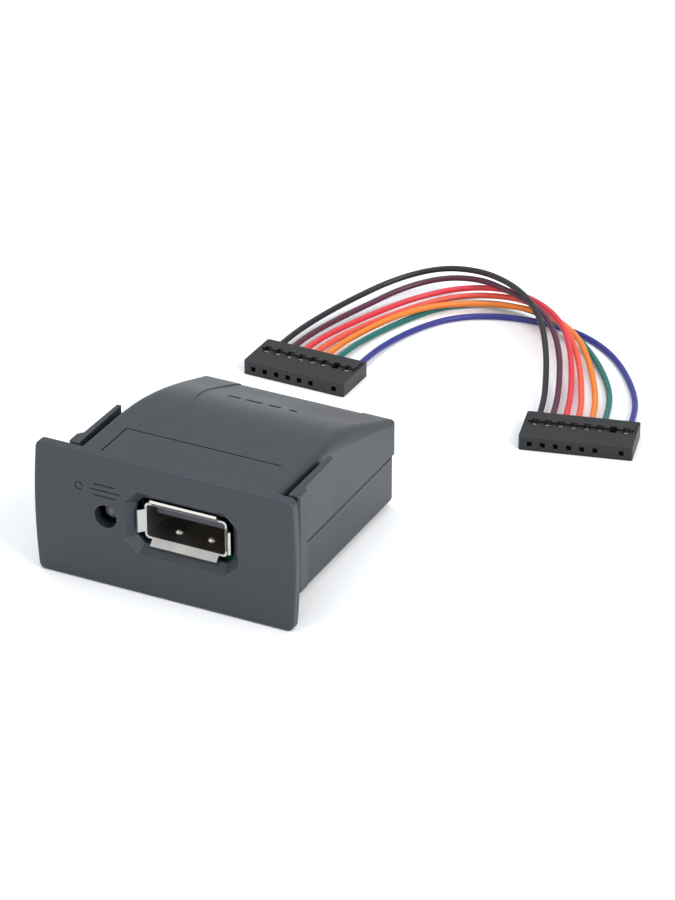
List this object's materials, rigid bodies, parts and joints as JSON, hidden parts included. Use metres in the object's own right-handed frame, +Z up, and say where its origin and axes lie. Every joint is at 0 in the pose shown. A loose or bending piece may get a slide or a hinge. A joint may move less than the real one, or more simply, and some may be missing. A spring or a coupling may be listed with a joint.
{
  "type": "snap-in USB panel module with jumper lead",
  "caption": "Snap-in panel housing with a USB socket, status lamp, two spring latches and a rear pin header, with a loose multi-way jumper lead.",
  "frame": {"origin": "on the resting plane, under the middle of the module's bounding box", "axes": "+Z up, front bezel faces -Y, +X to the right seen from the front"},
  "size_m": [0.0651, 0.1054, 0.0209],
  "materials": {
    "case_plastic": "fine satin moulding",
    "board_laminate": "solder mask",
    "socket_metal": "bright tin plate",
    "socket_plastic": "satin",
    "contact_gold": "gold flash",
    "lamp_epoxy": "translucent",
    "tinned_metal": "tinned",
    "chip_plastic": "moulded epoxy",
    "crystal_metal": "drawn can",
    "tantalum_resin": "moulded resin",
    "capacitor_ceramic": "ceramic",
    "resistor_film": "glazed film",
    "connector_plastic": "satin moulding",
    "wire_black": "insulation",
    "wire_brown": "insulation",
    "wire_red": "insulation",
    "wire_orange": "insulation",
    "wire_yellow": "insulation",
    "wire_green": "insulation",
    "wire_blue": "insulation"
  },
  "bodies": {
    "module": {"lower_shell": "case_plastic", "upper_shell": "case_plastic", "circuit_board": "board_laminate", "usb_shell": "socket_metal", "usb_insulator": "socket_plastic", "usb_contacts": "contact_gold", "led_lens": "lamp_epoxy", "led_leads": "tinned_metal", "controller_chip": "chip_plastic", "chip_leads": "tinned_metal", "crystal_can": "crystal_metal", "voltage_regulator": "chip_plastic", "storage_capacitors": "tantalum_resin", "chip_capacitors": "capacitor_ceramic", "chip_resistors": "resistor_film", "header_base": "connector_plastic", "header_pins": "contact_gold"},
    "left_latch": {"left_latch_arm": "case_plastic"},
    "right_latch": {"right_latch_arm": "case_plastic"},
    "lead": {"left_connector_housing": "connector_plastic", "right_connector_housing": "connector_plastic", "left_crimp_contacts": "tinned_metal", "right_crimp_contacts": "tinned_metal", "wire_black": "wire_black", "wire_brown": "wire_brown", "wire_red": "wire_red", "wire_orange": "wire_orange", "wire_yellow": "wire_yellow", "wire_green": "wire_green", "wire_blue": "wire_blue"}
  },
  "joints": [
    {"name": "left_latch_flex", "type": "hinge", "parent": "module", "child": "left_latch", "pos_m": [-0.0151, -0.0056, 0.0157], "axis": [0, 0, 1], "range_deg": [0, 4.5], "stiffness_Nm_per_rad": 0.5},
    {"name": "right_latch_flex", "type": "hinge", "parent": "module", "child": "right_latch", "pos_m": [0.0183, -0.0056, 0.0157], "axis": [0, 0, -1], "range_deg": [0, 4.5], "stiffness_Nm_per_rad": 0.5},
    {"name": "lead_lift", "type": "slide", "parent": "module", "child": "lead", "axis": [0, 0, 1], "range_m": [0, 0.05]}
  ]
}
